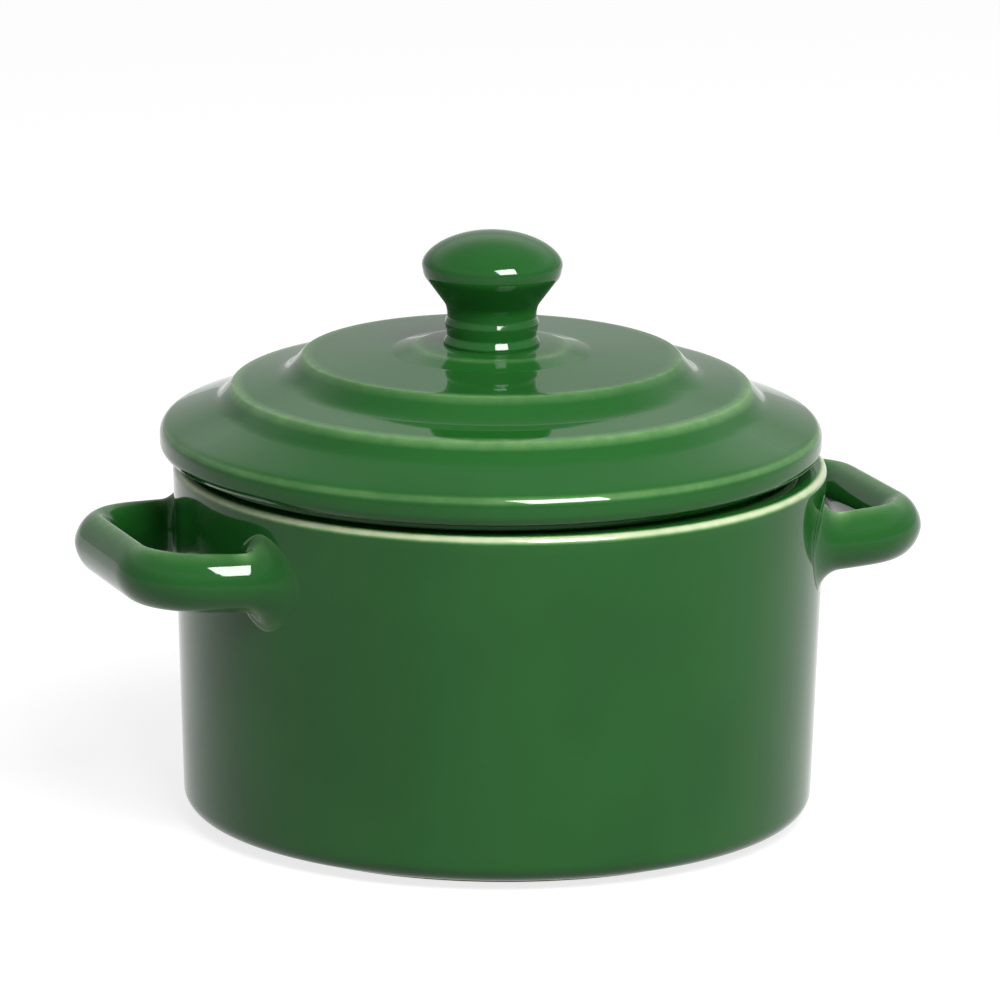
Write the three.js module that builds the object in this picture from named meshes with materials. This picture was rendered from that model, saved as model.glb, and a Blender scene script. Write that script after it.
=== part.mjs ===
// A mini casserole in glazed stoneware: a round pot with two loop handles and a stepped lid with a knob.
// Millimetres, +Z up. The origin is the centre of the foot ring, on the surface that the pot stands on.
// The handles lie along X, the left one at -X.

import * as THREE from 'three';
import { mergeVertices } from 'three/addons/utils/BufferGeometryUtils.js';

// Pot
const potHeight = 55.1;
const rimRadius = 50;
const wallDraft = 1.9;
const wallThickness = 4.6;
const floorThickness = 4.8;
const rimOuterRound = 1.2;
const rimInnerRound = 0.8;
const baseRound = 5.2;
const wellRound = 8;

// Foot ring under the pot
const footInset = 5.7;
const footWidth = 5.6;
const footHeight = 1.2;
const footRound = 0.4;

// Loop handles
const handleDrop = 11.7;
const handleSkew = 0.75;
const handleLift = 0.4;
const handleOutreach = 10.7;
const footSpread = 22;
const barSpread = 18.8;
const handleBend = 13;
const strapThickness = 6.7;
const strapHeight = 9;
const strapSquareness = 1.7;
const luteFillet = 3;
const luteEdge = 0.4;
const footBlend = 7;

// Lid
const lidOverhang = 0.55;
const brimThickness = 4.45;
const brimRound = 2.2;
const brimRise = 3.35;
const lowerTierInset = 11.05;
const lowerTierHeight = 2.8;
const lowerTierSplay = 2.4;
const lowerTierCove = 3;
const treadRise = 1.2;
const upperTierInset = 10.7;
const upperTierHeight = 3.35;
const upperTierSplay = 3;
const upperTierCove = 4;
const tierRound = 0.8;
const shoulderInset = 13.5;
const shoulderRise = 0.55;
const shoulderCove = 3;
const bossRadius = 11.5;
const bossDrop = 0.25;
const bossRound = 0.8;
const crownRise = 1.2;
const lidWall = 4.2;

// Underside of the lid: the land that bears on the rim and the flange that keeps the lid in place
const landInset = 3.75;
const landHeight = 1.3;
const flangeDepth = 4.5;
const flangeWall = 3.5;
const flangeRound = 1;
const landRound = 0.35;
const domeRound = 3;

// Knob
const knobRadius = 10.75;
const knobFootRadius = 7.35;
const knobFootEdge = 0.15;
const waistRadius = 6.8;
const waistHeight = 1.1;
const waistRound = 0.5;
const beadRadius = 7.2;
const beadHeight = 3.1;
const beadRound = 0.5;
const tuckRadius = 6.85;
const tuckHeight = 3.9;
const tuckRound = 0.6;
const neckRadius = 6.95;
const neckHeight = 5.7;
const neckRound = 2.5;
const capLipRadius = 10.45;
const capLipHeight = 10.3;
const capLipRound = 2;
const equatorHeight = 12;
const capDome = 5;
const capFullness = 1.7;
const capSteps = 6;

// Clearances
const luteGap = 0.3;
const seatGap = 0.3;
const flangePlay = 1.8;
const flangeTouchGap = 0.3;

// Fineness of the solids
const potFacets = 56;
const knobFacets = 36;
const arcStep = Math.PI / 5;
const leastArcSteps = 2;
const strapSides = 16;
const strapStep = 3;
const filletShares = [0, 0.12, 0.35];

// Heights and radii that follow from the sizes above
const baseRadius = rimRadius - wallDraft;
const footRadius = baseRadius - footInset;
const handleHeight = potHeight - handleDrop;
const handleReach = rimRadius + handleOutreach;
const floorTop = footHeight + floorThickness;
const rimInnerRadius = rimRadius - wallThickness;
const lidRadius = rimRadius + lidOverhang;
const lowerTierRadius = lidRadius - lowerTierInset;
const upperTierRadius = lowerTierRadius - upperTierInset;
const landRadius = lidRadius - landInset;
const seatLevel = potHeight + seatGap;
const brimUnderLevel = seatLevel + landHeight;
const brimTopLevel = brimUnderLevel + brimThickness;
const lowerTierBase = brimTopLevel + brimRise;
const lowerTierTop = lowerTierBase + lowerTierHeight;
const upperTierBase = lowerTierTop + treadRise;
const upperTierTop = upperTierBase + upperTierHeight;
const shoulderRadius = upperTierRadius - shoulderInset;
const shoulderLevel = upperTierTop + shoulderRise;
const crownLevel = shoulderLevel + crownRise;
const flangeRadius = rimInnerRadius - flangePlay;
const flangeInnerRadius = flangeRadius - flangeWall;
const lidShift = flangePlay - flangeTouchGap;

const greenGlaze = { color: 0x2f6638, roughness: 0.12, metalness: 0 };

// One corner of an outline: its place and the radius that rounds it
function corner(radius, height, round = 0) {
  return { at: new THREE.Vector2(radius, height), round };
}

// An arc that rounds one corner, kept within half of the straight runs beside it
function roundedCorner(before, here, after) {
  const back = before.at.clone().sub(here.at);
  const ahead = after.at.clone().sub(here.at);
  const room = Math.min(back.length(), ahead.length()) / 2;
  back.normalize();
  ahead.normalize();
  const halfAngle = Math.acos(THREE.MathUtils.clamp(back.dot(ahead), -1, 1)) / 2;
  const reach = Math.min(here.round / Math.tan(halfAngle), room);
  const radius = reach * Math.tan(halfAngle);
  const middle = back.clone().add(ahead).normalize();
  const centre = here.at.clone().addScaledVector(middle, radius / Math.sin(halfAngle));
  const start = here.at.clone().addScaledVector(back, reach).sub(centre);
  const end = here.at.clone().addScaledVector(ahead, reach).sub(centre);
  const clockwise = start.cross(end) < 0;
  const arc = new THREE.EllipseCurve(
    centre.x, centre.y, radius, radius, start.angle(), end.angle(), clockwise,
  );
  const steps = Math.max(leastArcSteps, Math.round((Math.PI - 2 * halfAngle) / arcStep));
  return arc.getPoints(steps);
}

// The points of an outline through its corners, with an arc at each rounded one
function outline(corners) {
  const points = [];
  corners.forEach((here, index) => {
    if (here.round > 0) {
      points.push(...roundedCorner(corners[index - 1], here, corners[index + 1]));
    } else {
      points.push(here.at.clone());
    }
  });
  return points;
}

// A turned solid about the vertical axis, from an outline that starts and ends on that axis
function turned(points, facets) {
  return new THREE.LatheGeometry(points, facets).rotateX(Math.PI / 2);
}

function piece(name, geometry) {
  const mesh = new THREE.Mesh(geometry, new THREE.MeshStandardMaterial(greenGlaze));
  mesh.name = name;
  return mesh;
}

// Outer radius of the pot's wall at a height
function wallRadius(height) {
  const share = (height - footHeight) / (potHeight - footHeight);
  return THREE.MathUtils.lerp(baseRadius, rimRadius, share);
}

// The pot from the middle of its underside, round the foot ring, up the wall, over the rim and down inside
function potBody() {
  const points = outline([
    corner(0, footHeight),
    corner(footRadius - footWidth, footHeight, footRound),
    corner(footRadius - footWidth, 0, footRound),
    corner(footRadius, 0, footRound),
    corner(footRadius, footHeight, footRound),
    corner(baseRadius, footHeight, baseRound),
    corner(rimRadius, potHeight, rimOuterRound),
    corner(rimInnerRadius, potHeight, rimInnerRound),
    corner(baseRadius - wallThickness, floorTop, wellRound),
    corner(0, floorTop),
  ]);
  return piece('pot_body', turned(points, potFacets));
}

// The lid from the middle of its underside, round the flange, land and brim, and up the tiers to the crown
function lidShell() {
  const points = outline([
    corner(0, crownLevel - lidWall),
    corner(upperTierRadius, upperTierBase - lidWall, domeRound),
    corner(flangeInnerRadius, lowerTierBase - lidWall, domeRound),
    corner(flangeInnerRadius, seatLevel - flangeDepth, flangeRound),
    corner(flangeRadius, seatLevel - flangeDepth, flangeRound),
    corner(flangeRadius, seatLevel, landRound),
    corner(landRadius, seatLevel, landRound),
    corner(landRadius, brimUnderLevel, landRound),
    corner(lidRadius, brimUnderLevel, brimRound),
    corner(lidRadius, brimTopLevel, brimRound),
    corner(lowerTierRadius + lowerTierSplay, lowerTierBase, lowerTierCove),
    corner(lowerTierRadius, lowerTierTop, tierRound),
    corner(upperTierRadius + upperTierSplay, upperTierBase, upperTierCove),
    corner(upperTierRadius, upperTierTop, tierRound),
    corner(shoulderRadius, shoulderLevel, shoulderCove),
    corner(bossRadius, crownLevel - bossDrop, bossRound),
    corner(knobFootRadius, crownLevel),
    corner(0, crownLevel),
  ]);
  return piece('lid', turned(points, potFacets));
}

// The knob: a thin foot, a waisted stem with a soft bead, and a domed cap with a conical underside
function knob() {
  const foot = crownLevel + luteGap;
  const equator = foot + equatorHeight;
  const underside = outline([
    corner(0, foot),
    corner(knobFootRadius, foot),
    corner(knobFootRadius, foot + knobFootEdge),
    corner(waistRadius, foot + waistHeight, waistRound),
    corner(beadRadius, foot + beadHeight, beadRound),
    corner(tuckRadius, foot + tuckHeight, tuckRound),
    corner(neckRadius, foot + neckHeight, neckRound),
    corner(capLipRadius, foot + capLipHeight, capLipRound),
    corner(knobRadius, equator),
  ]);
  const dome = [];
  for (let step = 1; step < capSteps; step++) {
    const rise = Math.sin(Math.PI / 2 * step / capSteps);
    const radius = knobRadius * Math.sqrt(1 - rise ** capFullness);
    dome.push(new THREE.Vector2(radius, equator + capDome * rise));
  }
  const crown = new THREE.Vector2(0, equator + capDome);
  return piece('lid_knob', turned([...underside, ...dome, crown], knobFacets));
}

// The middle line of a handle seen from above, for the handle at +X: foot, bend, bar, bend, foot
function handleLine() {
  const footReach = Math.sqrt(wallRadius(handleHeight) ** 2 - footSpread ** 2);
  const plan = outline([
    corner(footReach, -footSpread),
    corner(handleReach, -barSpread, handleBend),
    corner(handleReach, barSpread, handleBend),
    corner(footReach, footSpread),
  ]);
  const line = new THREE.CurvePath();
  plan.slice(1).forEach((end, index) => {
    line.add(new THREE.LineCurve(plan[index], end));
  });
  return line;
}

// How far the lute fillet spreads the strap at a distance from the wall
function filletSpread(distance) {
  const inside = Math.max(0, luteFillet - Math.max(0, distance - luteEdge));
  return luteFillet - Math.sqrt(luteFillet ** 2 - inside ** 2);
}

// One ring of the strap: an oval across the line, fitted to the round wall near the feet
function strapRing(line, along, length, skew) {
  const at = line.getPointAt(along / length);
  const heading = line.getTangentAt(along / length);
  const distance = Math.min(along, length - along);
  const spread = filletSpread(distance);
  const fitted = Math.max(0, 1 - distance / footBlend);
  const outward = (at.x - line.getPointAt(0).x) / (handleReach - line.getPointAt(0).x);
  const lift = handleLift * outward + skew * at.y / footSpread;
  const ring = [];
  for (let side = 0; side < strapSides; side++) {
    const angle = 2 * Math.PI * side / strapSides;
    const across = squareOval(Math.cos(angle)) * (strapThickness / 2 + spread);
    const above = squareOval(Math.sin(angle)) * (strapHeight / 2 + spread);
    const vertex = new THREE.Vector3(
      at.x + heading.y * across, at.y - heading.x * across, handleHeight + lift + above,
    );
    const wallHere = wallReach(vertex.y, vertex.z);
    vertex.x += fitted * (wallHere + distance - vertex.x);
    ring.push(vertex);
  }
  return ring;
}

// A cosine or sine of the oval: a squareness of 2 is an ellipse, more is squarer and less is leaner
function squareOval(share) {
  return Math.sign(share) * Math.abs(share) ** (2 / strapSquareness);
}

// Distance along X to the lute seam on the wall, at a place across and a height
function wallReach(across, height) {
  return Math.sqrt((wallRadius(height) + luteGap) ** 2 - across ** 2);
}

// A closed skin over a row of rings, with a fan of triangles on each end
function skinned(rings, capCentres) {
  const sides = rings[0].length;
  const vertices = [...rings.flat(), ...capCentres];
  const firstCap = rings.length * sides;
  const faces = [];
  for (let row = 0; row + 1 < rings.length; row++) {
    for (let side = 0; side < sides; side++) {
      const next = (side + 1) % sides;
      const a = row * sides + side;
      const b = row * sides + next;
      faces.push(a, b + sides, b, a, a + sides, b + sides);
    }
  }
  for (let side = 0; side < sides; side++) {
    const next = (side + 1) % sides;
    const lastRow = firstCap - sides;
    faces.push(firstCap, side, next);
    faces.push(firstCap + 1, lastRow + next, lastRow + side);
  }
  const geometry = new THREE.BufferGeometry().setFromPoints(vertices);
  geometry.setIndex(faces);
  geometry.computeVertexNormals();
  return mergeVertices(geometry);
}

// A loop handle for the +X side, its far foot raised by the skew and its near foot lowered by it.
// The rings are close together through the lute fillets and evenly spaced between them.
function handleLoop(skew) {
  const line = handleLine();
  const length = line.getLength();
  const filletEnd = luteEdge + luteFillet;
  const nearFoot = filletShares.map((share) => luteEdge + share * luteFillet);
  nearFoot.unshift(0);
  const between = Math.round((length - 2 * filletEnd) / strapStep);
  const stations = [...nearFoot];
  for (let step = 0; step <= between; step++) {
    stations.push(THREE.MathUtils.lerp(filletEnd, length - filletEnd, step / between));
  }
  nearFoot.reverse().forEach((distance) => stations.push(length - distance));
  const rings = stations.map((along) => strapRing(line, along, length, skew));
  const capCentres = [-1, 1].map((end) => {
    const across = end * footSpread;
    const height = handleHeight + end * skew;
    return new THREE.Vector3(wallReach(across, height), across, height);
  });
  return skinned(rings, capCentres);
}

const pot = new THREE.Group();
pot.add(potBody());
// Both handles sit a little aslant, each with its front foot the higher one
const handleSides = [
  { name: 'handle_left', turn: Math.PI, skew: handleSkew },
  { name: 'handle_right', turn: 0, skew: -handleSkew },
];
handleSides.forEach(({ name, turn, skew }) => {
  const handle = piece(name, handleLoop(skew));
  handle.rotation.z = turn;
  pot.add(handle);
});

// The loose lid lies pushed over towards the left handle, until its flange meets the wall
const lid = new THREE.Group();
lid.add(lidShell(), knob());
lid.position.x = -lidShift;

const casserole = new THREE.Group();
casserole.add(pot, lid);

export default casserole;
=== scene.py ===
"""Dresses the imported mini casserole: fired glaze on finely turned and swept meshes, a studio, a camera.

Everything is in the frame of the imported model: +Z up, the origin at the centre of the foot ring and the
handles along X. The object is written in millimetres and the studio in metres, and both leave in metres.
"""

import logging
import math
from dataclasses import dataclass
from enum import Enum

import bpy
from mathutils import Matrix, Vector


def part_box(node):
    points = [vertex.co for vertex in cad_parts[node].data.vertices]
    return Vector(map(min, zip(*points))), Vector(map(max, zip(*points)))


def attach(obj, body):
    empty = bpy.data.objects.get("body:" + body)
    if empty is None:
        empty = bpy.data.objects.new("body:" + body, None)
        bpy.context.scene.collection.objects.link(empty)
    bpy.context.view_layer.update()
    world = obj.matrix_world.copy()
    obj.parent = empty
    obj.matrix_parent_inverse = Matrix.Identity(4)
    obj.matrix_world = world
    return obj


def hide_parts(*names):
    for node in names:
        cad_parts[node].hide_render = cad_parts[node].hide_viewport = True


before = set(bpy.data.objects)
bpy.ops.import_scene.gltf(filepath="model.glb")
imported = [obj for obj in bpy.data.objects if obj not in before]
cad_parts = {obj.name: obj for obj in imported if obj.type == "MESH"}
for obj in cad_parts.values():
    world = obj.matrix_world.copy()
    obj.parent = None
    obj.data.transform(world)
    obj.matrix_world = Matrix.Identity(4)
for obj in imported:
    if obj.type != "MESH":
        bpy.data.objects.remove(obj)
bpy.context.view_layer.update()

log = logging.getLogger("mini_casserole")

MM = 0.001
WHITE = "#ffffff"
# The two attributes that tell the glaze where it lies.
COVER = "glaze_cover"
BARE = "bare_clay"
# A radius up to this, in millimetres, is a point on the axis of a turned piece.
ON_AXIS = 0.001
# The level that Blender's noise wanders about.
NOISE_MIDDLE = 0.5
# The place of the colour among the results of a Mix node.
COLOUR_RESULT = 2


def linear(code: str) -> tuple[float, float, float, float]:
    """Turns an sRGB hex colour to the linear values that the shaders take.

    Args:
        code: The colour, such as "#2f6638".

    Returns:
        Red, green and blue in linear light, and an alpha of 1.
    """
    shares = [int(code[at:at + 2], 16) / 255 for at in (1, 3, 5)]
    # The numbers are those of the sRGB standard.
    return (*[v / 12.92 if v <= 0.04045 else ((v + 0.055) / 1.055) ** 2.4 for v in shares], 1.0)


def per_metre(size: float) -> float:
    """The scale that gives a texture one feature for each size in millimetres."""
    return 1 / (size * MM)


def held(share: float) -> float:
    """Holds a share between 0 and 1."""
    return min(max(share, 0.0), 1.0)


def eased(share: float) -> float:
    """Eases a share from 0 to 1, and holds it outside that."""
    kept = held(share)
    return kept * kept * (3 - 2 * kept)


def direction(azimuth: float, elevation: float) -> Vector:
    """Works out the way from the object to something that stands round it.

    Args:
        azimuth: Degrees round the upright axis, from -Y towards +X.
        elevation: Degrees above the table.

    Returns:
        The way, with a length of 1.
    """
    around, up = math.radians(azimuth), math.radians(elevation)
    return Vector((math.sin(around) * math.cos(up), -math.cos(around) * math.cos(up), math.sin(up)))


def add_node(
    tree: bpy.types.NodeTree,
    kind: str,
    settings: dict[str, object] | None = None,
    inputs: dict[str, object] | None = None,
    stops: list[tuple[float, tuple[float, float, float, float]]] | None = None,
) -> bpy.types.Node:
    """Adds one node with its settings, its links and, for a ramp, its colour stops.

    Args:
        tree: The node tree of a material or the world.
        kind: The node's type name in Blender.
        settings: Properties of the node itself.
        inputs: A value or an output to link for each input, by identifier or name.
        stops: Places and colours along a ramp, first to last.

    Returns:
        The node.
    """
    node = tree.nodes.new(kind)
    for name, value in (settings or {}).items():
        setattr(node, name, value)
    for key, value in (inputs or {}).items():
        socket = next(s for s in node.inputs if key in (s.identifier, s.name))
        if isinstance(value, bpy.types.NodeSocket):
            tree.links.new(value, socket)
        else:
            socket.default_value = value
    for index, (place, colour) in enumerate(stops or []):
        elements = node.color_ramp.elements
        element = elements[index] if index < len(elements) else elements.new(place)
        element.position = place
        element.color = colour
    return node


class Zone(Enum):
    """What covers a stretch of the clay: its share of green glaze, and how bare it is."""

    GREEN = (1.0, 0.0)
    CREAM = (0.0, 0.0)
    BARE = (0.0, 1.0)


@dataclass(frozen=True)
class Corner:
    """One corner of an outline, in millimetres, and what the glaze does there.

    A zone covers the clay from its corner on. It sets in by its lead before the middle of the corner, over
    the length of its fade. A corner that thins takes that share of the glaze away within its reach.
    """

    radius: float
    height: float
    round: float = 0.0
    zone: Zone | None = None
    lead: float = 0.0
    fade: float = 0.8
    thin: float = 0.0
    reach: float = 1.0

    @property
    def place(self) -> Vector:
        """Where the corner is, across and up."""
        return Vector((self.radius, self.height))


@dataclass(frozen=True)
class Stop:
    """One point of a finished outline, in millimetres, with its glaze cover and bareness."""

    place: Vector
    cover: float
    bare: float


@dataclass(frozen=True)
class Outline:
    """An outline through its corners, first to last, with an arc at each rounded one.

    A higher thinning power gives the thin lines of the glaze a flatter middle and sharper sides.
    """

    corners: list[Corner]
    arc_step: float = math.radians(9)
    least_arc_steps: int = 4
    run_step: float = 1.6
    thinning_power: int = 4

    def arc(self, index: int) -> list[Vector]:
        """Rounds one corner, within half of the straight runs beside it.

        Args:
            index: The corner's place in the list.

        Returns:
            The points of the arc, or the corner itself where it isn't rounded.
        """
        here = self.corners[index]
        if not here.round:
            return [here.place]
        back = self.corners[index - 1].place - here.place
        ahead = self.corners[index + 1].place - here.place
        room = min(back.length, ahead.length) / 2
        back.normalize()
        ahead.normalize()
        half_angle = math.acos(max(-1.0, min(1.0, back.dot(ahead)))) / 2
        reach = min(here.round / math.tan(half_angle), room)
        radius = reach * math.tan(half_angle)
        centre = here.place + (back + ahead).normalized() * (radius / math.sin(half_angle))
        start = here.place + back * reach - centre
        turn = -start.angle_signed(here.place + ahead * reach - centre)
        steps = max(self.least_arc_steps, math.ceil(abs(turn) / self.arc_step))
        return [centre + Matrix.Rotation(turn * step / steps, 2) @ start for step in range(steps + 1)]

    def run_to(self, start: Vector, end: Vector) -> list[Vector]:
        """The points of a straight run between two places, without its ends."""
        steps = max(1, math.ceil((end - start).length / self.run_step))
        return [start.lerp(end, step / steps) for step in range(1, steps)]

    def stops(self) -> list[Stop]:
        """Works out the whole outline.

        Returns:
            Its points, close together, with the glaze cover and bareness of each.
        """
        places: list[Vector] = []
        middles: list[float] = []
        length = 0.0
        for index in range(len(self.corners)):
            arc = self.arc(index)
            run = self.run_to(places[-1], arc[0]) if places else []
            for place in run + arc:
                length += (place - places[-1]).length if places else 0.0
                places.append(place)
            arc_length = sum((b - a).length for a, b in zip(arc, arc[1:]))
            middles.append(length - arc_length / 2)
        return self.covered(places, middles)

    def covered(self, places: list[Vector], middles: list[float]) -> list[Stop]:
        """Lays the glaze along the outline.

        Args:
            places: The points of the outline.
            middles: How far along the outline the middle of each corner lies.

        Returns:
            The points with the glaze cover and bareness of each.
        """
        made: list[Stop] = []
        along = 0.0
        for index, place in enumerate(places):
            along += (place - places[index - 1]).length if index else 0.0
            cover, bare = (self.corners[0].zone or Zone.GREEN).value
            for corner, middle in zip(self.corners[1:], middles[1:]):
                if corner.zone:
                    share = eased((along - middle + corner.lead + corner.fade / 2) / corner.fade)
                    zone_cover, zone_bare = corner.zone.value
                    cover += (zone_cover - cover) * share
                    bare += (zone_bare - bare) * share
            for corner, middle in zip(self.corners, middles):
                if corner.thin:
                    off = (along - middle) / corner.reach
                    cover *= 1 - corner.thin * math.exp(-(off**self.thinning_power))
            made.append(Stop(place, cover, bare))
        return made


def finished_mesh(
    name: str,
    points: list[Vector],
    faces: list[tuple[int, ...]],
    covers: list[float],
    bares: list[float],
) -> bpy.types.Object:
    """Makes an object from points in millimetres and gives it the glaze's two attributes.

    Args:
        name: The piece's name.
        points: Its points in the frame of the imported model.
        faces: Its faces, outward.
        covers: The glaze cover of each point.
        bares: The bareness of each point.

    Returns:
        The object, smooth-shaded and linked to the scene.
    """
    mesh = bpy.data.meshes.new(name)
    mesh.from_pydata([point * MM for point in points], [], faces)
    for attribute, values in ((COVER, covers), (BARE, bares)):
        mesh.attributes.new(attribute, "FLOAT", "POINT").data.foreach_set("value", values)
    mesh.shade_smooth()
    piece = bpy.data.objects.new(name, mesh)
    bpy.context.scene.collection.objects.link(piece)
    return piece


def turned(name: str, stops: list[Stop], axis: Vector, facets: int) -> bpy.types.Object:
    """Turns an outline about an upright axis.

    Args:
        name: The piece's name.
        stops: The outline, which starts and ends on the axis.
        axis: Where the axis stands, in millimetres.
        facets: How many faces go round.

    Returns:
        The turned object.
    """
    points: list[Vector] = []
    covers: list[float] = []
    bares: list[float] = []
    rings: list[list[int]] = []
    for stop in stops:
        count = facets if stop.place.x > ON_AXIS else 1
        rings.append([len(points) + step % count for step in range(facets)])
        for step in range(count):
            angle = 2 * math.pi * step / facets
            across = Vector((math.cos(angle), math.sin(angle), 0)) * stop.place.x
            points.append(axis + across + Vector((0, 0, stop.place.y)))
        covers += [stop.cover] * count
        bares += [stop.bare] * count
    faces: list[tuple[int, ...]] = []
    for low, high in zip(rings, rings[1:]):
        for step in range(facets):
            after = (step + 1) % facets
            # On the axis two of the four points are one, and the face is a triangle.
            loop = dict.fromkeys((low[step], low[after], high[after], high[step]))
            faces.append(tuple(loop))
    return finished_mesh(name, points, faces, covers, bares)


@dataclass(frozen=True)
class DippedGreenGlaze:
    """Cream stoneware dipped in a translucent green glaze and fired glossy.

    Colours are sRGB, by how thick the glaze lies. Sizes and heights of the patterns are in millimetres, and
    a share says how strong a pattern is.
    """

    # Fired glaze is glass. It gives the eye a deep bottle green with sharp highlights where it lies thick,
    # and a pale yellow-green line where it ran off an edge and the cream clay shows through.
    name: str = "stoneware_dipped_green_glaze"
    thick: str = "#1e5b22"
    pooled: str = "#18501d"
    broken: str = "#69965c"
    broken_at: float = 0.56
    sheer: str = "#a2bd8c"
    sheer_at: float = 0.3
    cream: str = "#e6e3c8"
    clay: str = "#d8c9a4"
    speck: str = "#0f3018"
    ior: float = 1.52
    shine: float = 0.2
    gloss: float = 0.03
    gloss_drift: float = 0.04
    clay_roughness: float = 0.8
    cloud: float = 24.0
    cloud_edge: tuple[float, float] = (0.4, 0.7)
    cloud_share: float = 0.5
    mottle: float = 2.4
    mottle_share: float = 1.4
    grain: float = 0.55
    grain_edge: tuple[float, float] = (0.6, 0.8)
    grain_share: float = 0.12
    ripple: float = 9.0
    ripple_height: float = 0.02
    peel: float = 1.7
    peel_height: float = 0.0022
    pinhole_spacing: float = 7.5
    pinhole: float = 0.32
    pinhole_share: float = 0.1
    pinhole_pale: float = 0.45
    pinhole_depth: float = 0.05
    drift_detail: float = 3.0
    patch_detail: float = 2.0
    wave_detail: float = 1.0

    def material(self) -> bpy.types.Material:
        """Builds the glaze's nodes.

        Returns:
            The material, ready for any piece that carries the two attributes.
        """
        made = bpy.data.materials.new(self.name)
        made.use_nodes = True
        tree = made.node_tree
        tree.nodes.clear()
        place = add_node(tree, "ShaderNodeTexCoord").outputs["Object"]
        bare = add_node(tree, "ShaderNodeAttribute", {"attribute_name": BARE}).outputs["Fac"]
        pinhole = self.pinholes(tree, place)
        clouds = {"Vector": place, "Scale": per_metre(self.cloud), "Detail": self.drift_detail}
        cloud = add_node(tree, "ShaderNodeTexNoise", inputs=clouds).outputs["Fac"]
        drift = {"Value": cloud, "Value_001": self.gloss_drift, "Value_002": self.gloss}
        glass = add_node(tree, "ShaderNodeMath", {"operation": "MULTIPLY_ADD"}, drift).outputs[0]
        finishes = {"Factor_Float": bare, "A_Float": glass, "B_Float": self.clay_roughness}
        roughness = add_node(tree, "ShaderNodeMix", {"data_type": "FLOAT"}, finishes).outputs[0]
        shader = add_node(
            tree,
            "ShaderNodeBsdfPrincipled",
            inputs={
                "Base Color": self.colour(tree, place, bare, pinhole),
                "Roughness": roughness,
                "IOR": self.ior,
                "Specular IOR Level": self.shine,
                "Normal": self.relief(tree, place, pinhole),
            },
        )
        add_node(tree, "ShaderNodeOutputMaterial", inputs={"Surface": shader.outputs["BSDF"]})
        return made

    def pinholes(self, tree: bpy.types.NodeTree, place: bpy.types.NodeSocket) -> bpy.types.NodeSocket:
        """Scatters the few pinholes that gas leaves in a fired glaze.

        Args:
            tree: The material's nodes.
            place: The point on the piece.

        Returns:
            An output that is 1 in a pinhole and 0 elsewhere.
        """
        spacing = {"Vector": place, "Scale": per_metre(self.pinhole_spacing)}
        cells = add_node(tree, "ShaderNodeTexVoronoi", inputs=spacing).outputs
        few = {"Value": cells["Color"], "Value_001": self.pinhole_share}
        picked = add_node(tree, "ShaderNodeMath", {"operation": "LESS_THAN"}, few).outputs[0]
        radius = self.pinhole / self.pinhole_spacing
        fall = {
            "Value": cells["Distance"],
            "From Min": radius / 2,
            "From Max": radius,
            "To Min": 1.0,
            "To Max": 0.0,
        }
        dot = add_node(tree, "ShaderNodeMapRange", {"interpolation_type": "SMOOTHSTEP"}, fall).outputs[0]
        both = {"Value": dot, "Value_001": picked}
        return add_node(tree, "ShaderNodeMath", {"operation": "MULTIPLY"}, both).outputs[0]

    def colour(
        self,
        tree: bpy.types.NodeTree,
        place: bpy.types.NodeSocket,
        bare: bpy.types.NodeSocket,
        pinhole: bpy.types.NodeSocket,
    ) -> bpy.types.NodeSocket:
        """Colours the glaze by its thickness, and lays clouds, specks, pinholes and bare clay over it.

        Args:
            tree: The material's nodes.
            place: The point on the piece.
            bare: How bare the clay is there.
            pinhole: Whether a pinhole is there.

        Returns:
            The colour's output.
        """
        cover = add_node(tree, "ShaderNodeAttribute", {"attribute_name": COVER}).outputs["Fac"]
        stops = [
            (0.0, linear(self.cream)),
            (self.sheer_at, linear(self.sheer)),
            (self.broken_at, linear(self.broken)),
            (1.0, linear(self.thick)),
        ]
        thickness = {"Fac": self.thickness(tree, place, cover)}
        colour = add_node(tree, "ShaderNodeValToRGB", inputs=thickness, stops=stops).outputs[0]
        layers = (
            (self.patches(tree, place, self.cloud, self.cloud_edge, self.cloud_share), cover, self.pooled),
            (self.patches(tree, place, self.grain, self.grain_edge, self.grain_share), cover, self.speck),
            (pinhole, self.pinhole_pale, self.sheer),
            (bare, 1.0, self.clay),
        )
        for share, strength, over in layers:
            part = {"Value": share, "Value_001": strength}
            laid = add_node(tree, "ShaderNodeMath", {"operation": "MULTIPLY"}, part).outputs[0]
            blend = {"Factor_Float": laid, "A_Color": colour, "B_Color": linear(over)}
            colour = add_node(tree, "ShaderNodeMix", {"data_type": "RGBA"}, blend).outputs[COLOUR_RESULT]
        return colour

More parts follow.
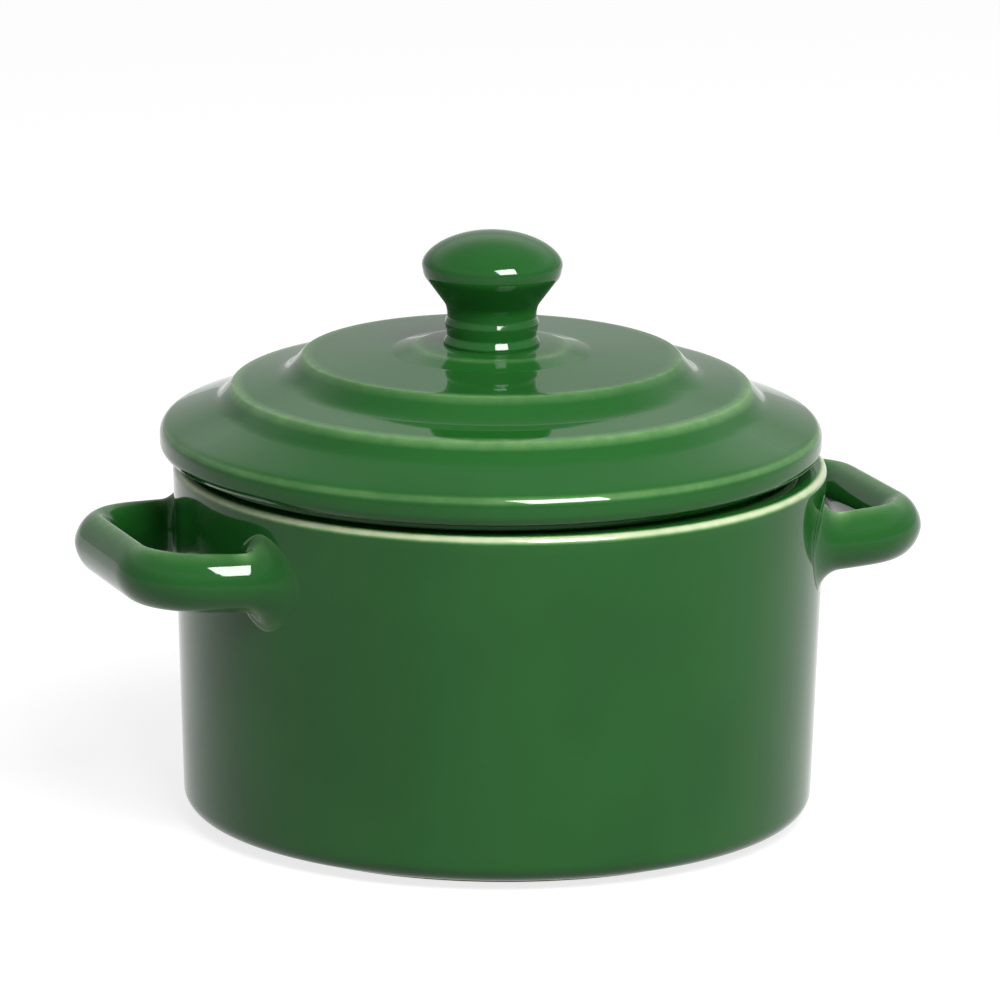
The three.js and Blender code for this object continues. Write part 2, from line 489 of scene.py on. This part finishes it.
    def thickness(
        self, tree: bpy.types.NodeTree, place: bpy.types.NodeSocket, cover: bpy.types.NodeSocket
    ) -> bpy.types.NodeSocket:
        """Lets the glaze wander where it is half thin, and leaves it even where it is thick.

        Args:
            tree: The material's nodes.
            place: The point on the piece.
            cover: The share of the full thickness there.

        Returns:
            An output with the wandering thickness.
        """
        wander = {"Vector": place, "Scale": per_metre(self.mottle), "Detail": self.drift_detail}
        mottle = add_node(tree, "ShaderNodeTexNoise", inputs=wander).outputs["Fac"]
        both_ways = {"Value": mottle, "Value_001": NOISE_MIDDLE}
        drift = add_node(tree, "ShaderNodeMath", {"operation": "SUBTRACT"}, both_ways).outputs[0]
        lack = {"Value": 1.0, "Value_001": cover}
        loose = add_node(tree, "ShaderNodeMath", {"operation": "SUBTRACT"}, lack).outputs[0]
        for factor in (cover, self.mottle_share):
            product = {"Value": loose, "Value_001": factor}
            loose = add_node(tree, "ShaderNodeMath", {"operation": "MULTIPLY"}, product).outputs[0]
        moved = {"Value": drift, "Value_001": loose, "Value_002": cover}
        return add_node(tree, "ShaderNodeMath", {"operation": "MULTIPLY_ADD"}, moved).outputs[0]

    def patches(
        self,
        tree: bpy.types.NodeTree,
        place: bpy.types.NodeSocket,
        size: float,
        edge: tuple[float, float],
        share: float,
    ) -> bpy.types.NodeSocket:
        """Scatters soft patches.

        Args:
            tree: The material's nodes.
            place: The point on the piece.
            size: How far apart the patches lie, in millimetres.
            edge: The noise levels at which a patch starts and is full.
            share: How strong a full patch is.

        Returns:
            An output that is the share in a patch and 0 outside.
        """
        spread = {"Vector": place, "Scale": per_metre(size), "Detail": self.patch_detail}
        noise = add_node(tree, "ShaderNodeTexNoise", inputs=spread).outputs["Fac"]
        rise = {"Value": noise, "From Min": edge[0], "From Max": edge[1], "To Max": share}
        return add_node(tree, "ShaderNodeMapRange", {"interpolation_type": "SMOOTHSTEP"}, rise).outputs[0]

    def relief(
        self, tree: bpy.types.NodeTree, place: bpy.types.NodeSocket, pinhole: bpy.types.NodeSocket
    ) -> bpy.types.NodeSocket:
        """Gives the surface the slow ripple and fine peel of a poured glaze, and sinks its pinholes.

        Args:
            tree: The material's nodes.
            place: The point on the piece.
            pinhole: Whether a pinhole is there.

        Returns:
            The normal's output.
        """
        normal: bpy.types.NodeSocket | None = None
        for size, height in ((self.ripple, self.ripple_height), (self.peel, self.peel_height)):
            waves = {"Vector": place, "Scale": per_metre(size), "Detail": self.wave_detail}
            noise = add_node(tree, "ShaderNodeTexNoise", inputs=waves).outputs["Fac"]
            swell: dict[str, object] = {"Height": noise, "Distance": height * MM}
            if normal:
                swell["Normal"] = normal
            normal = add_node(tree, "ShaderNodeBump", inputs=swell).outputs["Normal"]
        pits = {"Height": pinhole, "Distance": self.pinhole_depth * MM, "Normal": normal}
        return add_node(tree, "ShaderNodeBump", {"invert": True}, pits).outputs["Normal"]


def take_place(piece: bpy.types.Object, body: str, node: str, glaze: bpy.types.Material) -> None:
    """Puts a finished piece in the place of a CAD node.

    Args:
        piece: The finished piece.
        body: The body that it moves with.
        node: The CAD node that it stands for.
        glaze: The material that it wears.
    """
    piece.data.materials.append(glaze)
    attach(piece, body)
    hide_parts(node)
    log.info("%s: %d faces on body %s", piece.name, len(piece.data.polygons), body)


@dataclass(frozen=True)
class Pot:
    """The round pot: a floor, a slightly drafted wall, a rim with a thin pale edge and a bare foot ring."""

    height: float = 55.1
    rim_radius: float = 50.0
    wall_draft: float = 1.9
    wall: float = 4.6
    floor: float = 4.8
    rim_outer_round: float = 1.2
    rim_inner_round: float = 0.8
    base_round: float = 5.2
    well_round: float = 8.0
    foot_inset: float = 5.7
    foot_width: float = 5.6
    foot_height: float = 1.2
    foot_round: float = 0.4
    foot_wiped: float = 0.6
    rim_thinning: float = 0.84
    rim_line: float = 0.68
    rim_dip: float = 1.6
    facets: int = 256

    @property
    def base_radius(self) -> float:
        """Outer radius where the wall meets the underside."""
        return self.rim_radius - self.wall_draft

    def wall_radius(self, height: float) -> float:
        """Outer radius of the wall at a height."""
        share = (height - self.foot_height) / (self.height - self.foot_height)
        return self.base_radius + (self.rim_radius - self.base_radius) * share

    def corners(self) -> list[Corner]:
        """Draws the outline, with the glaze wiped off round the foot and dipped just over the rim.

        Returns:
            The corners from the middle of the underside, round the foot, up the wall and down inside.
        """
        rim_inner = self.rim_radius - self.wall
        foot_radius = self.base_radius - self.foot_inset
        foot_inner = foot_radius - self.foot_width
        floor_top = self.foot_height + self.floor
        return [
            Corner(0, self.foot_height),
            Corner(foot_inner, self.foot_height, self.foot_round, Zone.BARE),
            Corner(foot_inner, 0, self.foot_round),
            Corner(foot_radius, 0, self.foot_round),
            Corner(foot_radius, self.foot_height, self.foot_round, Zone.GREEN, lead=-self.foot_wiped),
            Corner(self.base_radius, self.foot_height, self.base_round),
            Corner(
                self.rim_radius,
                self.height,
                self.rim_outer_round,
                thin=self.rim_thinning,
                reach=self.rim_line,
            ),
            Corner(rim_inner, self.height, self.rim_inner_round, Zone.CREAM, lead=-self.rim_dip),
            Corner(self.base_radius - self.wall, floor_top, self.well_round),
            Corner(0, floor_top),
        ]

    def build(self, glaze: bpy.types.Material) -> None:
        """Turns the pot and puts it in its place."""
        piece = turned("pot", Outline(self.corners()).stops(), Vector((0, 0, 0)), self.facets)
        take_place(piece, "pot", "pot_body", glaze)


class Side(Enum):
    """The two sides that carry a handle, as the turn about the upright axis from the +X side."""

    LEFT = math.pi
    RIGHT = 0.0


@dataclass(frozen=True)
class LoopHandle:
    """A loop handle: a soft strap, bent and luted on a little aslant, with a round fillet at each foot.

    The strap is drawn for the +X side and turned to its own side.
    """

    pot: Pot
    side: Side
    drop: float = 11.7
    skew: float = 0.75
    lift: float = 0.4
    outreach: float = 10.7
    foot_spread: float = 22.0
    bar_spread: float = 18.8
    bend: float = 13.0
    thickness: float = 6.7
    depth: float = 9.0
    squareness: float = 1.7
    fillet: float = 3.0
    fillet_steps: int = 10
    foot_blend: float = 7.0
    bury: float = 0.5
    sides: int = 56
    step: float = 0.9
    edge_power: int = 8
    edge_thinning: float = 0.2
    foot_thinning: float = 0.42
    foot_line: float = 1.2

    @property
    def node(self) -> str:
        """The CAD node that the handle stands for."""
        return f"handle_{self.side.name.lower()}"

    @property
    def reach(self) -> float:
        """How far the middle of the bar is from the pot's axis."""
        return self.pot.rim_radius + self.outreach

    @property
    def level(self) -> float:
        """How high the middle of the feet is."""
        return self.pot.height - self.drop

    def middle_line(self) -> list[Vector]:
        """Draws the strap's middle line as seen from above.

        Returns:
            Its points: foot, bend, bar, bend, foot.
        """
        foot = math.sqrt(self.pot.wall_radius(self.level) ** 2 - self.foot_spread**2)
        plan = Outline(
            [
                Corner(foot, -self.foot_spread),
                Corner(self.reach, -self.bar_spread, self.bend),
                Corner(self.reach, self.bar_spread, self.bend),
                Corner(foot, self.foot_spread),
            ]
        )
        return [stop.place for stop in plan.stops()]

    def stations(self, length: float) -> list[float]:
        """Places along the middle line: close together through the fillets, evenly spaced between them.

        Args:
            length: The length of the middle line.

        Returns:
            The distances from the first foot, in order.
        """
        turns = [math.pi / 2 * step / self.fillet_steps for step in range(self.fillet_steps + 1)]
        near = [-self.bury, *[self.fillet * (1 - math.cos(turn)) for turn in turns]]
        count = round((length - 2 * self.fillet) / self.step)
        between = [self.fillet + (length - 2 * self.fillet) * at / count for at in range(1, count)]
        return [*near, *between, *[length - distance for distance in reversed(near)]]

    def spread(self, distance: float) -> float:
        """How far the fillet widens the strap at a distance from the wall."""
        inside = min(max(self.fillet - distance, 0.0), self.fillet)
        return self.fillet - math.sqrt(self.fillet**2 - inside**2)

    def squared(self, share: float) -> float:
        """A cosine or sine of the oval, which is an ellipse at a squareness of 2 and leaner below."""
        return math.copysign(abs(share) ** (2 / self.squareness), share)

    def build(self, glaze: bpy.types.Material) -> None:
        """Sweeps the strap along its middle line and puts it in its place.

        Args:
            glaze: The material that it wears.
        """
        line = self.middle_line()
        lengths = [0.0]
        for before, after in zip(line, line[1:]):
            lengths.append(lengths[-1] + (after - before).length)
        rings = [self.ring(line, lengths, along) for along in self.stations(lengths[-1])]
        turn = Matrix.Rotation(self.side.value, 3, "Z")
        points = [turn @ point for ring in rings for point, _ in ring]
        covers = [cover for ring in rings for _, cover in ring]
        faces: list[tuple[int, ...]] = []
        for row in range(len(rings) - 1):
            for side in range(self.sides):
                first = row * self.sides + side
                beside = row * self.sides + (side + 1) % self.sides
                faces.append((first, first + self.sides, beside + self.sides, beside))
        faces.append(tuple(range(self.sides)))
        faces.append(tuple(reversed(range(len(points) - self.sides, len(points)))))
        piece = finished_mesh(f"loop_{self.node}", points, faces, covers, [0.0] * len(points))
        take_place(piece, "pot", self.node, glaze)

    def ring(self, line: list[Vector], lengths: list[float], along: float) -> list[tuple[Vector, float]]:
        """One ring of the strap, fitted to the round wall near the feet.

        Args:
            line: The strap's middle line.
            lengths: How far along it each of its points lies.
            along: Where on it the ring goes.

        Returns:
            The ring's points, and the glaze cover of each.
        """
        on_line = min(max(along, 0.0), lengths[-1])
        index = next(i for i in range(1, len(lengths)) if lengths[i] >= on_line)
        share = (on_line - lengths[index - 1]) / (lengths[index] - lengths[index - 1])
        at = line[index - 1].lerp(line[index], share)
        heading = self.heading(line, index, share)
        distance = min(along, lengths[-1] - along)
        spread = self.spread(distance)
        fitted = held(1 - distance / self.foot_blend)
        foot = line[0].x
        rise = self.lift * (at.x - foot) / (self.reach - foot)
        rise -= self.skew * math.cos(self.side.value) * at.y / self.foot_spread
        made: list[tuple[Vector, float]] = []
        for side in range(self.sides):
            angle = 2 * math.pi * side / self.sides
            across = self.squared(math.cos(angle)) * (self.thickness / 2 + spread)
            above = self.squared(math.sin(angle)) * (self.depth / 2 + spread)
            height = self.level + rise + above
            point = Vector((at.x + heading.y * across, at.y - heading.x * across, height))
            wall = math.sqrt(self.pot.wall_radius(point.z) ** 2 - point.y**2)
            point.x += fitted * (wall + distance - point.x)
            made.append((point, self.cover(angle, distance)))
        return made

    def heading(self, line: list[Vector], index: int, share: float) -> Vector:
        """The direction of the middle line within one of its short runs, eased towards the runs beside it.

        Args:
            line: The strap's middle line.
            index: The point at which the run ends.
            share: How far along the run.

        Returns:
            The direction, with a length of 1.
        """
        last = len(line) - 1
        ends = [(line[min(at + 1, last)] - line[max(at - 1, 0)]).normalized() for at in (index - 1, index)]
        return ends[0].lerp(ends[1], share).normalized()

    def cover(self, angle: float, distance: float) -> float:
        """Thins the glaze along the strap's top and bottom, most where they turn into a foot.

        Args:
            angle: Where on the ring, from its outer side.
            distance: How far the ring is from the wall.

        Returns:
            The share of the glaze that stays.
        """
        edge = abs(math.sin(angle)) ** self.edge_power
        turn_in = math.exp(-(((distance - self.fillet) / self.foot_line) ** 2))
        return 1 - edge * (self.edge_thinning + self.foot_thinning * turn_in)


@dataclass(frozen=True)
class Lid:
    """The loose lid: a round-nosed brim, two soft steps, a land and a flange that drops into the pot."""

    pot: Pot
    seat_gap: float = 0.3
    overhang: float = 0.55
    brim: float = 4.45
    brim_round: float = 2.2
    brim_rise: float = 3.35
    lower_inset: float = 11.05
    lower_height: float = 2.8
    lower_splay: float = 2.4
    lower_cove: float = 3.0
    tread_rise: float = 1.2
    upper_inset: float = 10.7
    upper_height: float = 3.35
    upper_splay: float = 3.0
    upper_cove: float = 4.0
    tier_round: float = 0.8
    shoulder_inset: float = 13.5
    shoulder_rise: float = 0.55
    shoulder_cove: float = 3.0
    boss_radius: float = 11.5
    boss_drop: float = 0.25
    boss_round: float = 0.8
    crown_rise: float = 1.2
    wall: float = 4.2
    land_inset: float = 3.75
    land_height: float = 1.3
    land_round: float = 0.35
    land_inner_glaze: float = 0.6
    land_outer_glaze: float = 0.8
    flange_play: float = 1.8
    flange_depth: float = 4.5
    flange_wall: float = 3.5
    flange_round: float = 1.0
    dome_round: float = 3.0
    knob_foot: float = 7.35
    brim_thinning: float = 0.24
    brim_line: float = 0.6
    lower_thinning: float = 0.37
    upper_thinning: float = 0.25
    boss_thinning: float = 0.16
    tier_line: float = 0.42
    facets: int = 256

    @property
    def seat(self) -> float:
        """The level at which the lid lies on the rim."""
        return self.pot.height + self.seat_gap

    @property
    def lower_base(self) -> float:
        """The level at which the lower tier rises from the brim."""
        return self.seat + self.land_height + self.brim + self.brim_rise

    @property
    def upper_base(self) -> float:
        """The level at which the upper tier rises from the lower one."""
        return self.lower_base + self.lower_height + self.tread_rise

    @property
    def shoulder(self) -> float:
        """The level at which the top starts to sweep up to the knob."""
        return self.upper_base + self.upper_height + self.shoulder_rise

    @property
    def crown(self) -> float:
        """The level of the lid's top, under the knob."""
        return self.shoulder + self.crown_rise

    def axis(self) -> Vector:
        """Where the lid's axis stands: it lies pushed over within its play."""
        low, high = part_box("lid")
        return Vector(((low[0] + high[0]) / 2 / MM, 0, 0))

    def corners(self) -> list[Corner]:
        """Draws the outline, cream inside and bare along the land.

        Returns:
            The corners from the middle of the underside, round the flange, land and brim, and up the tiers.
        """
        radius = self.pot.rim_radius + self.overhang
        lower = radius - self.lower_inset
        upper = lower - self.upper_inset
        land = radius - self.land_inset
        flange = self.pot.rim_radius - self.pot.wall - self.flange_play
        flange_inner = flange - self.flange_wall
        flange_end = self.seat - self.flange_depth
        brim_under = self.seat + self.land_height
        brim_top = brim_under + self.brim
        lower_top = self.lower_base + self.lower_height
        upper_top = self.upper_base + self.upper_height
        return [
            Corner(0, self.crown - self.wall, zone=Zone.CREAM),
            Corner(upper, self.upper_base - self.wall, self.dome_round),
            Corner(flange_inner, self.lower_base - self.wall, self.dome_round),
            Corner(flange_inner, flange_end, self.flange_round),
            Corner(flange, flange_end, self.flange_round, Zone.GREEN),
            Corner(flange, self.seat, self.land_round, Zone.BARE, lead=-self.land_inner_glaze),
            Corner(land, self.seat, self.land_round, Zone.GREEN, lead=self.land_outer_glaze),
            Corner(land, brim_under, self.land_round),
            Corner(radius, brim_under, self.brim_round),
            Corner(radius, brim_top, self.brim_round, thin=self.brim_thinning, reach=self.brim_line),
            Corner(lower + self.lower_splay, self.lower_base, self.lower_cove),
            Corner(lower, lower_top, self.tier_round, thin=self.lower_thinning, reach=self.tier_line),
            Corner(upper + self.upper_splay, self.upper_base, self.upper_cove),
            Corner(upper, upper_top, self.tier_round, thin=self.upper_thinning, reach=self.tier_line),
            Corner(upper - self.shoulder_inset, self.shoulder, self.shoulder_cove),
            Corner(
                self.boss_radius,
                self.crown - self.boss_drop,
                self.boss_round,
                thin=self.boss_thinning,
                reach=self.tier_line,
            ),
            Corner(self.knob_foot, self.crown),
            Corner(0, self.crown),
        ]

    def build(self, glaze: bpy.types.Material) -> None:
        """Turns the lid and puts it in its place."""
        piece = turned("lid_shell", Outline(self.corners()).stops(), self.axis(), self.facets)
        take_place(piece, "lid", "lid", glaze)


@dataclass(frozen=True)
class Knob:
    """The mushroom knob: a thin foot luted to the lid, a waisted stem with a soft bead, and a domed cap."""

    lid: Lid
    radius: float = 10.75
    foot_edge: float = 0.45
    waist_radius: float = 6.8
    waist_height: float = 1.4
    waist_round: float = 0.5
    bead_radius: float = 7.2
    bead_height: float = 3.4
    bead_round: float = 0.5
    tuck_radius: float = 6.85
    tuck_height: float = 4.2
    tuck_round: float = 0.6
    neck_radius: float = 6.95
    neck_height: float = 6.0
    neck_round: float = 2.5
    lip_radius: float = 10.45
    lip_height: float = 10.6
    lip_round: float = 2.0
    equator_height: float = 12.3
    dome: float = 5.0
    fullness: float = 1.7
    bury: float = 0.3
    dome_steps: int = 22
    facets: int = 160

    def stops(self) -> list[Stop]:
        """Draws the outline, green all over.

        Returns:
            The points from the middle of the foot, up the stem and over the dome.
        """
        foot = self.lid.crown
        equator = foot + self.equator_height
        made = Outline(
            [
                Corner(0, foot - self.bury),
                Corner(self.lid.knob_foot, foot - self.bury),
                Corner(self.lid.knob_foot, foot + self.foot_edge, self.foot_edge / 2),
                Corner(self.waist_radius, foot + self.waist_height, self.waist_round),
                Corner(self.bead_radius, foot + self.bead_height, self.bead_round),
                Corner(self.tuck_radius, foot + self.tuck_height, self.tuck_round),
                Corner(self.neck_radius, foot + self.neck_height, self.neck_round),
                Corner(self.lip_radius, foot + self.lip_height, self.lip_round),
                Corner(self.radius, equator),
            ]
        ).stops()
        for step in range(1, self.dome_steps + 1):
            rise = math.sin(math.pi / 2 * step / self.dome_steps)
            across = self.radius * math.sqrt(1 - rise**self.fullness)
            made.append(Stop(Vector((across, equator + self.dome * rise)), *Zone.GREEN.value))
        return made

    def build(self, glaze: bpy.types.Material) -> None:
        """Turns the knob and puts it in its place."""
        piece = turned("knob", self.stops(), self.lid.axis(), self.facets)
        take_place(piece, "lid", "lid_knob", glaze)


@dataclass(frozen=True)
class PhotoCamera:
    """The camera of the photograph: far off with a long lens, a little above the brim.

    Angles are in degrees, lengths in millimetres and places in the picture in pixels.
    """

    azimuth: float = -18.35
    elevation: float = 14.05
    distance: float = 1600.0
    aim: tuple[float, float, float] = (0.0, 0.0, 35.0)
    aim_pixel: tuple[float, float] = (498.83, 587.83)
    focal_pixels: float = 10440.0
    picture: float = 1000.0
    roll: float = 0.5
    sensor: float = 36.0
    nearest: float = 50.0
    farthest: float = 20000.0

    def axes(self) -> tuple[Vector, Vector, Vector]:
        """Rolls the camera, and turns it until its aim falls on the aim's pixel.

        Returns:
            The ways to its right, above it and behind it.
        """
        back = direction(self.azimuth, self.elevation)
        level = Vector((0, 0, 1)).cross(back).normalized()
        upright = back.cross(level)
        roll = math.radians(self.roll)
        right = level * math.cos(roll) + upright * math.sin(roll)
        above = upright * math.cos(roll) - level * math.sin(roll)
        off_right = (self.picture / 2 - self.aim_pixel[0]) / self.focal_pixels
        off_up = (self.aim_pixel[1] - self.picture / 2) / self.focal_pixels
        behind = (back - right * off_right - above * off_up).normalized()
        right = above.cross(behind).normalized()
        return right, behind.cross(right), behind

    def build(self) -> None:
        """Makes the camera and gives it to the scene."""
        data = bpy.data.cameras.new("photo_camera")
        data.sensor_width = self.sensor
        data.lens = self.focal_pixels / self.picture * self.sensor
        data.clip_start, data.clip_end = self.nearest * MM, self.farthest * MM
        camera = bpy.data.objects.new("photo_camera", data)
        place = Vector(self.aim) + direction(self.azimuth, self.elevation) * self.distance
        turn = Matrix(self.axes()).transposed().to_4x4()
        camera.matrix_world = Matrix.Translation(place * MM) @ turn
        bpy.context.scene.collection.objects.link(camera)
        bpy.context.scene.camera = camera


def seen(tree: bpy.types.NodeTree) -> bpy.types.NodeSocket:
    """Tells rays that show something, to the camera, in gloss or through glass, from those that light.

    Args:
        tree: The node tree of a material or the world.

    Returns:
        An output that is 1 for a ray that shows something and 0 for one that lights.
    """
    path = add_node(tree, "ShaderNodeLightPath").outputs
    shown = path["Is Camera Ray"]
    for ray in ("Is Glossy Ray", "Is Transmission Ray"):
        either = {"Value": shown, "Value_001": path[ray]}
        shown = add_node(tree, "ShaderNodeMath", {"operation": "MAXIMUM"}, either).outputs[0]
    return shown


@dataclass(frozen=True)
class PaintedBoard:
    """A board rolled with matt white paint.

    The paint's colour in the light and the glow add up to white, and the colour carries the shadow.
    """

    # Matt paint gives the eye an even pale ground without gloss, on which a shadow lies soft.
    name: str = "matt_white_painted_board"
    colour: str = "#989898"
    glow: float = 0.78

    def material(self) -> bpy.types.Material:
        """Builds the paint's nodes.

        Returns:
            The material of the floor.
        """
        made = bpy.data.materials.new(self.name)
        made.use_nodes = True
        tree = made.node_tree
        tree.nodes.clear()
        strength = {"Value": seen(tree), "Value_001": self.glow}
        level = add_node(tree, "ShaderNodeMath", {"operation": "MULTIPLY"}, strength).outputs[0]
        glow = add_node(tree, "ShaderNodeEmission", inputs={"Color": linear(WHITE), "Strength": level})
        matt = add_node(tree, "ShaderNodeBsdfDiffuse", inputs={"Color": linear(self.colour)})
        layers = {"Shader": matt.outputs[0], "Shader_001": glow.outputs[0]}
        both = add_node(tree, "ShaderNodeAddShader", inputs=layers)
        add_node(tree, "ShaderNodeOutputMaterial", inputs={"Surface": both.outputs[0]})
        return made


@dataclass(frozen=True)
class Softbox:
    """A lamp behind a diffusing cloth, aimed at the middle of the object, in degrees, metres and watts.

    One that lights falls on matt colour, and one that shows is mirrored in gloss.
    """

    name: str
    azimuth: float
    elevation: float
    distance: float
    width: float
    height: float
    power: float
    lights: bool = True
    shows: bool = True
    aim: tuple[float, float, float] = (0.0, 0.0, 0.05)

    def build(self) -> None:
        """Makes the lamp and hangs it in its place."""
        back = direction(self.azimuth, self.elevation)
        data = bpy.data.lights.new(self.name, "AREA")
        data.shape = "RECTANGLE"
        data.size, data.size_y, data.energy = self.width, self.height, self.power
        lamp = bpy.data.objects.new(self.name, data)
        lamp.location = Vector(self.aim) + back * self.distance
        lamp.rotation_mode = "QUATERNION"
        lamp.rotation_quaternion = back.to_track_quat("Z", "Y")
        lamp.visible_diffuse, lamp.visible_glossy = self.lights, self.shows
        bpy.context.scene.collection.objects.link(lamp)


@dataclass(frozen=True)
class Studio:
    """A plain pale floor, a pale backdrop all round and three softboxes, in metres.

    The backdrop's levels say how bright it is at each elevation in degrees, where 1 is white. The key light
    is a lamp that only lights and, a little to its side, a cloth that is only mirrored.
    """

    floor_half: float = 6.0
    floor_drop: float = 0.0002
    floor_finish: PaintedBoard = PaintedBoard()
    fill: float = 0.4
    backdrop_levels: tuple[tuple[float, float], ...] = (
        (18.0, 0.62),
        (26.0, 1.0),
        (33.0, 1.0),
        (50.0, 0.62),
    )
    key: Softbox = Softbox(
        name="key_softbox",
        azimuth=2.0,
        elevation=45.0,
        distance=1.0,
        width=0.46,
        height=0.5,
        power=9.6,
        shows=False,
    )
    key_cloth: Softbox = Softbox(
        name="key_cloth",
        azimuth=10.6,
        elevation=45.0,
        distance=1.0,
        width=0.46,
        height=0.5,
        power=38.0,
        lights=False,
    )
    side: Softbox = Softbox(
        name="side_softbox",
        azimuth=47.0,
        elevation=30.0,
        distance=1.2,
        width=0.6,
        height=0.6,
        power=3.2,
        shows=False,
    )

    def build(self) -> None:
        """Lays the floor, lights the scene and sets the plain view transform."""
        self.lay_floor()
        self.surround()
        for lamp in (self.key, self.key_cloth, self.side):
            lamp.build()
        bpy.context.scene.view_settings.view_transform = "Standard"

    def lay_floor(self) -> None:
        """Lays the floor a hair under the foot ring."""
        half = self.floor_half
        corners = [(-half, -half), (half, -half), (half, half), (-half, half)]
        mesh = bpy.data.meshes.new("floor")
        mesh.from_pydata([(x, y, -self.floor_drop) for x, y in corners], [], [(0, 1, 2, 3)])
        mesh.materials.append(self.floor_finish.material())
        floor = bpy.data.objects.new("floor", mesh)
        bpy.context.scene.collection.objects.link(floor)

    def backdrop(self, tree: bpy.types.NodeTree) -> bpy.types.NodeSocket:
        """Hangs the backdrop.

        Args:
            tree: The world's nodes.

        Returns:
            An output with how bright the backdrop is in each direction.
        """
        way = add_node(tree, "ShaderNodeTexCoord").outputs["Generated"]
        upward = add_node(tree, "ShaderNodeSeparateXYZ", inputs={"Vector": way}).outputs["Z"]
        stops = [
            (math.sin(math.radians(elevation)), (level, level, level, 1.0))
            for elevation, level in self.backdrop_levels
        ]
        return add_node(tree, "ShaderNodeValToRGB", inputs={"Fac": upward}, stops=stops).outputs[0]

    def surround(self) -> None:
        """Sets the backdrop for rays that show something, and an even fill for those that light."""
        world = bpy.data.worlds.new("studio")
        world.use_nodes = True
        bpy.context.scene.world = world
        tree = world.node_tree
        tree.nodes.clear()
        levels = {"Factor_Float": seen(tree), "A_Float": self.fill, "B_Float": self.backdrop(tree)}
        level = add_node(tree, "ShaderNodeMix", {"data_type": "FLOAT"}, levels).outputs[0]
        light = add_node(tree, "ShaderNodeBackground", inputs={"Color": linear(WHITE), "Strength": level})
        add_node(tree, "ShaderNodeOutputWorld", inputs={"Surface": light.outputs[0]})


def main() -> None:
    """Builds the camera, the studio and the five pieces."""
    logging.basicConfig(level=logging.INFO, format="%(message)s")
    PhotoCamera().build()
    Studio().build()
    glaze = DippedGreenGlaze().material()
    pot = Pot()
    lid = Lid(pot)
    pot.build(glaze)
    for side in Side:
        LoopHandle(pot, side).build(glaze)
    lid.build(glaze)
    Knob(lid).build(glaze)


if __name__ == "__main__":
    main()
